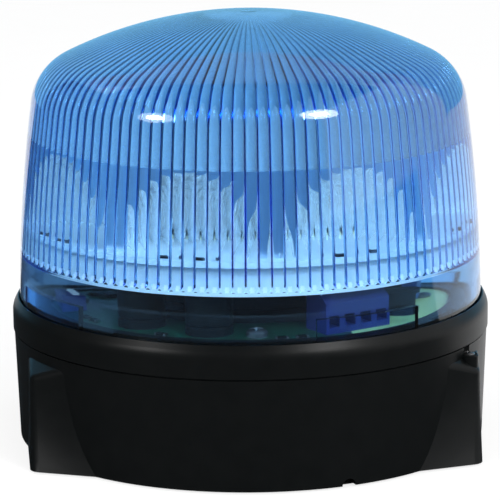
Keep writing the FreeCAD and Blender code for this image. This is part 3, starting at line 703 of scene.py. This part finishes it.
def make_reflector(mirror, plain):
    """Ring of faceted niches in a round wall, closed below and with a well for its screws."""
    mirror_slot = 0
    plain_slot = 1
    parts = []
    foot = []
    for angle in niche_angles:
        parts.append((niche_surface(angle), mirror_slot))
        parts.append((wall_surface(angle), plain_slot))
        foot = niche_foot(angle) + foot
    inner = [Vector((point.x, point.y, 0)).normalized() * wire_hole_radius for point in foot]
    inner = [Vector((point.x, point.y, led_top_z)) for point in inner]
    parts.append(((foot + inner, ring_faces(2, len(foot))), plain_slot))
    web_top_z = led_top_z + web_height
    outline = [
        (reflector_radius, reflector_top_z),
        (cap_seat_radius, reflector_top_z),
        (cap_seat_radius, cap_low_z),
        (well_radius, cap_low_z),
        (well_radius, web_top_z),
        (wire_hole_radius, web_top_z),
        (wire_hole_radius, led_top_z),
    ]
    parts.append((lathe(outline, niche_count * niche_columns * facet_steps), mirror_slot))
    points = []
    faces = []
    slots = []
    for (part_points, part_faces), slot in parts:
        append_part(points, faces, part_points, part_faces)
        slots += [slot] * len(part_faces)
    add_piece(
        "reflector_bowls", points, faces, [mirror, plain], "base",
        reflector_sharp_angle, nodes=["reflector"], face_slots=slots,
    )


# Emitters, screws and chip resistors

def make_emitters(material):
    """Round clear cap on each emitter package, in the focus of its niche."""
    points = []
    faces = []
    low = low_of("led_domes").z
    cap_height = high_of("led_domes").z - low
    focal_length = niche_half_width ** 2 / (4 * niche_depth)
    place_radius = reflector_radius - niche_depth + focal_length
    for angle in niche_angles:
        centre = polar(place_radius, angle, low)
        start = len(points)
        for ring in range(emitter_rings):
            tilt = math.pi / 2 * ring / emitter_rings
            radius = emitter_radius * math.cos(tilt)
            points += circle_points(centre, radius, cap_height * math.sin(tilt), emitter_columns)
        faces += ring_faces(emitter_rings, emitter_columns, start)
        points.append(centre + Vector((0, 0, cap_height)))
        faces += fan_faces(start + (emitter_rings - 1) * emitter_columns, emitter_columns, len(points) - 1)
        points.append(centre)
        faces += fan_faces(start, emitter_columns, len(points) - 1)
    add_piece(
        "emitter_caps", points, faces, [material], "base",
        emitter_sharp_angle, nodes=["led_domes"],
    )


def recess_depth(x, y, head_radius):
    """Depth of the cross recess at a place on a screw head, as a share of the head's height."""
    arm = recess_arm_share * head_radius
    half_width = recess_half_width_share * head_radius
    along_x = max(abs(x) / arm, abs(y) / half_width)
    along_y = max(abs(x) / half_width, abs(y) / arm)
    return recess_depth_share * smooth_step((1.0 - min(along_x, along_y)) * recess_steepness)


def screw_mesh(centre, low, high, head_height, head_radius, shank_radius):
    """Pan-head screw with a cross recess."""
    seat = high - head_height
    tip = shank_radius * shank_tip_share
    points = []
    for radius, z in ((tip, low), (shank_radius, low + tip), (shank_radius, seat), (head_radius, seat)):
        points += circle_points(centre, radius, z, screw_columns)
    for ring in range(screw_rings):
        share = 1 - ring / screw_rings
        for place in circle_points(Vector(), head_radius * share, 0.0, screw_columns):
            crown = head_height * (1 - head_drop_share * share ** 4)
            height = crown - head_height * recess_depth(place.x, place.y, head_radius)
            points.append(centre + place + Vector((0, 0, seat + height)))
    row_count = len(points) // screw_columns
    faces = ring_faces(row_count, screw_columns)
    points.append(centre + Vector((0, 0, low)))
    faces += fan_faces(0, screw_columns, len(points) - 1)
    points.append(centre + Vector((0, 0, seat + head_height * (1 - recess_depth_share))))
    faces += fan_faces((row_count - 1) * screw_columns, screw_columns, len(points) - 1)
    return points, faces


def make_screws(node, centres, sizes, material):
    """Screws that stand for one CAD node."""
    points = []
    faces = []
    for centre in centres:
        append_part(points, faces, *screw_mesh(centre, low_of(node).z, high_of(node).z, *sizes))
    add_piece(
        "detailed_" + node, points, faces, [material], "base",
        screw_sharp_angle, nodes=[node],
    )


def circle_places(node, first_angle):
    """Centres of like screws on one circle, from the box of their node."""
    turn = math.radians(first_angle)
    reach = (high_of(node).x - screw_head_radius) / max(math.sin(turn), math.cos(turn))
    spacing = FULL_TURN / circle_screw_count
    return [polar(reach, first_angle + spacing * index) for index in range(circle_screw_count)]


def chip_mesh(angle, radius, z):
    """Chip resistor along the circle: a dark body between two tinned ends."""
    half_length = chip_length / 2
    half_body = half_length - chip_end
    spans = ((-half_length, -half_body, 1), (-half_body, half_body, 0), (half_body, half_length, 1))
    points = []
    faces = []
    slots = []
    for low, high, slot in spans:
        drop = chip_step * (1 - slot)
        corners = []
        for aside in (low, high):
            turn = angle + math.degrees(aside / radius)
            for depth, up in ((-1, 0), (1, 0), (1, 1), (-1, 1)):
                reach = radius + depth * (chip_width / 2 - drop)
                corners.append(polar(reach, turn, z + up * (chip_height - drop)))
        append_part(points, faces, corners, box_faces)
        slots += [slot] * len(box_faces)
    return points, faces, slots


def make_chips(name, places, z, body, ends):
    """Chip resistors at (angle, radius) places on a board."""
    points = []
    faces = []
    slots = []
    for angle, radius in places:
        part_points, part_faces, part_slots = chip_mesh(angle, radius, z)
        append_part(points, faces, part_points, part_faces)
        slots += part_slots
    add_piece(
        name, points, faces, [body, ends], "base",
        chip_sharp_angle, face_slots=slots,
    )


# Stage

def white_world():
    """Even white surroundings."""
    world = bpy.data.worlds.new("studio")
    world.use_nodes = True
    world.node_tree.nodes["Background"].inputs["Color"].default_value = (1, 1, 1, 1)
    world.node_tree.nodes["Background"].inputs["Strength"].default_value = 1.0
    bpy.context.scene.world = world


def floor_finish():
    """Pale floor that shows nearly white and keeps the shadow of the part."""
    material, tree, shader, place = new_material("floor_white")
    mottle = add_noise(tree, place, scale=40.0)
    colour = add_ramp(tree, mottle, dark=(0.88, 0.88, 0.88), light=(0.9, 0.9, 0.9))
    tree.links.new(colour, shader.inputs["Base Color"])
    shader.inputs["Roughness"].default_value = 0.9
    path = tree.nodes.new("ShaderNodeLightPath")
    shown = path.outputs["Is Camera Ray"]
    for ray in ("Is Glossy Ray", "Is Transmission Ray"):
        either = tree.nodes.new("ShaderNodeMath")
        either.operation = "MAXIMUM"
        tree.links.new(shown, either.inputs[0])
        tree.links.new(path.outputs[ray], either.inputs[1])
        shown = either.outputs[0]
    share = tree.nodes.new("ShaderNodeMath")
    share.operation = "MULTIPLY"
    share.inputs[1].default_value = floor_glow_share
    tree.links.new(shown, share.inputs[0])
    glow = tree.nodes.new("ShaderNodeEmission")
    mix = tree.nodes.new("ShaderNodeMixShader")
    tree.links.new(share.outputs[0], mix.inputs["Fac"])
    tree.links.new(shader.outputs["BSDF"], mix.inputs[1])
    tree.links.new(glow.outputs["Emission"], mix.inputs[2])
    tree.links.new(mix.outputs["Shader"], tree.nodes["Material Output"].inputs["Surface"])
    return material


def add_card(name, corners, material):
    """Flat stage piece, with corners in metres."""
    mesh = bpy.data.meshes.new(name)
    mesh.from_pydata(corners, [], [tuple(range(len(corners)))])
    mesh.materials.append(material)
    card = bpy.data.objects.new(name, mesh)
    bpy.context.scene.collection.objects.link(card)
    return card


def add_flag(name, corners, material, ray):
    """Card that only one kind of ray sees, glossy or transmission."""
    card = add_card(name, corners, material)
    card.visible_camera = False
    card.visible_shadow = False
    card.visible_diffuse = False
    card.visible_glossy = ray == "glossy"
    card.visible_transmission = ray == "transmission"


def level(left, right, front, back, z):
    """Corners of a level card."""
    return [(left, front, z), (right, front, z), (right, back, z), (left, back, z)]


def upright(start, end, low, high):
    """Corners of an upright card between two places on the floor."""
    return [(*start, low), (*end, low), (*end, high), (*start, high)]


def table_sector(start, end, z):
    """Corners of a sector of the floor between two angles."""
    turns = [start + (end - start) * step / sector_steps for step in range(sector_steps + 1)]
    return [tuple(polar(floor_half, turn, z)) for turn in turns] + [(0, 0, z)]


def add_stage(dark, grey, pale, light):
    """Floor with a shade under the foot, and cards that the gloss and the clear blue show."""
    add_card("floor", level(-floor_half, floor_half, -floor_half, floor_half, floor_z), floor_finish())
    foot = circle_points(Vector(), foot_shade_radius, foot_shade_z, foot_shade_columns)
    add_card("foot_shade", foot, dark)

    near_left = (studio_left, studio_front)
    near_right = (studio_right, studio_front)
    ceiling = level(studio_left, studio_right, studio_front, studio_back, studio_top)
    add_flag("dark_ceiling", ceiling, dark, "glossy")
    add_flag("dark_front", upright(near_left, near_right, 0, studio_top), dark, "glossy")
    add_flag("dark_left", upright(near_left, (studio_left, backdrop_y), 0, studio_top), dark, "glossy")
    add_flag("dark_table", table_sector(*dark_table_angles, dark_table_z), dark, "glossy")

    far_left = (-floor_half, backdrop_y)
    far_right = (floor_half, backdrop_y)
    add_flag("pale_back", upright(far_left, far_right, 0, backdrop_pale_top), pale, "glossy")
    add_flag("light_back", upright(far_left, far_right, backdrop_pale_top, backdrop_light_top), light, "glossy")

    strip = level(-strip_half, strip_half, strip_far, strip_near, grey_table_z)
    add_flag("dark_corner", upright(corner_start, corner_end, 0, corner_top), grey, "transmission")
    add_flag("dark_table_back", table_sector(*back_table_angles, grey_table_z), grey, "transmission")
    add_flag("grey_front", upright(near_left, near_right, 0, studio_top), grey, "transmission")
    add_flag("grey_left", upright(near_left, (studio_left, studio_back), 0, studio_top), grey, "transmission")
    add_flag("grey_table_front", strip, grey, "transmission")


def add_lamp(name, azimuth, elevation, distance, size, power):
    """Soft oval lamp aimed at the middle of the part, by its direction in degrees and distance in metres."""
    lamp = bpy.data.lights.new(name, "AREA")
    lamp.shape = "ELLIPSE"
    lamp.size = size[0]
    lamp.size_y = size[1]
    lamp.energy = power
    holder = bpy.data.objects.new(name, lamp)
    aim = Vector((0, 0, camera_pivot * MM))
    tilt = math.radians(elevation)
    holder.location = aim + polar(distance * math.cos(tilt), azimuth, distance * math.sin(tilt))
    holder.rotation_euler = (aim - holder.location).to_track_quat("-Z", "Y").to_euler()
    bpy.context.scene.collection.objects.link(holder)
    return holder


def add_lamps():
    """Two lamps with soft edges that the gloss shows, and a fill lamp that it doesn't show."""
    for side in ("left", "right"):
        direction = (lamp_azimuths[side], lamp_elevations[side])
        add_lamp(side + "_lamp", *direction, core_distance, core_size, core_power)
        add_lamp(side + "_halo", *direction, halo_distance, halo_size, halo_powers[side])
    fill = add_lamp("fill_lamp", fill_azimuth, fill_elevation, fill_distance, fill_size, fill_power)
    fill.visible_glossy = False
    fill.visible_transmission = False


def add_camera():
    """Camera at the photograph's viewing angle."""
    data = bpy.data.cameras.new("camera")
    data.lens = camera_focal
    data.sensor_width = camera_sensor
    camera = bpy.data.objects.new("camera", data)
    back = polar(math.cos(camera_elevation), math.degrees(camera_azimuth), math.sin(camera_elevation))
    camera.location = (Vector((0, 0, camera_pivot)) + back * camera_distance) * MM
    aim = Vector((0, 0, camera_aim)) * MM
    look = (aim - camera.location).to_track_quat("-Z", "Y")
    camera.rotation_euler = (look @ Quaternion((0, 0, 1), camera_roll)).to_euler()
    bpy.context.scene.collection.objects.link(camera)
    bpy.context.scene.camera = camera


bpy.context.scene.view_settings.view_transform = "Standard"
finishes = {name: plain_finish(name, **look) for name, look in plain_looks.items()}
finishes["green_board"] = board_finish()
steel = finishes["bright_steel"]
chip_black = finishes["black_component"]

white_world()
add_camera()
add_stage(
    finishes["studio_dark"], finishes["studio_grey"], finishes["studio_pale"], finishes["studio_light"]
)
add_lamps()

# The lens node keeps its own look, since lens_dome stands for it.
for row in frame["record"]["subparts"]:
    node = frame["nodes"][row["node"]]
    if row["material_slot"] in finishes:
        node.data.materials.clear()
        node.data.materials.append(finishes[row["material_slot"]])

make_lens(lens_finish(), finishes["lens_frost"])
make_reflector(finishes["metallised_reflector"], finishes["reflector_wall"])
make_emitters(finishes["emitter_cap"])

led_chip_radius = high_of("led_board").x - led_chip_inset
led_chips = [(angle + side * led_chip_spread, led_chip_radius) for angle in niche_angles for side in (-1, 1)]
make_chips("led_board_chips", led_chips, led_top_z, chip_black, steel)
driver_chip_radius = high_of("driver_board").x - driver_chip_inset
driver_chips = [(angle, driver_chip_radius) for angle in driver_chip_angles]
make_chips("driver_board_chips", driver_chips, board_top_z, chip_black, steel)

inner_sizes = (screw_head_height, screw_head_radius, screw_shank_radius)
for node, angle in circle_screw_angles.items():
    make_screws(node, circle_places(node, angle), inner_sizes, steel)
lock_centre = (low_of("lock_screw") + high_of("lock_screw")) / 2
lock_sizes = (lock_head_height, lock_head_radius, lock_shank_radius)
make_screws("lock_screw", [Vector((lock_centre.x, lock_centre.y, 0))], lock_sizes, steel)
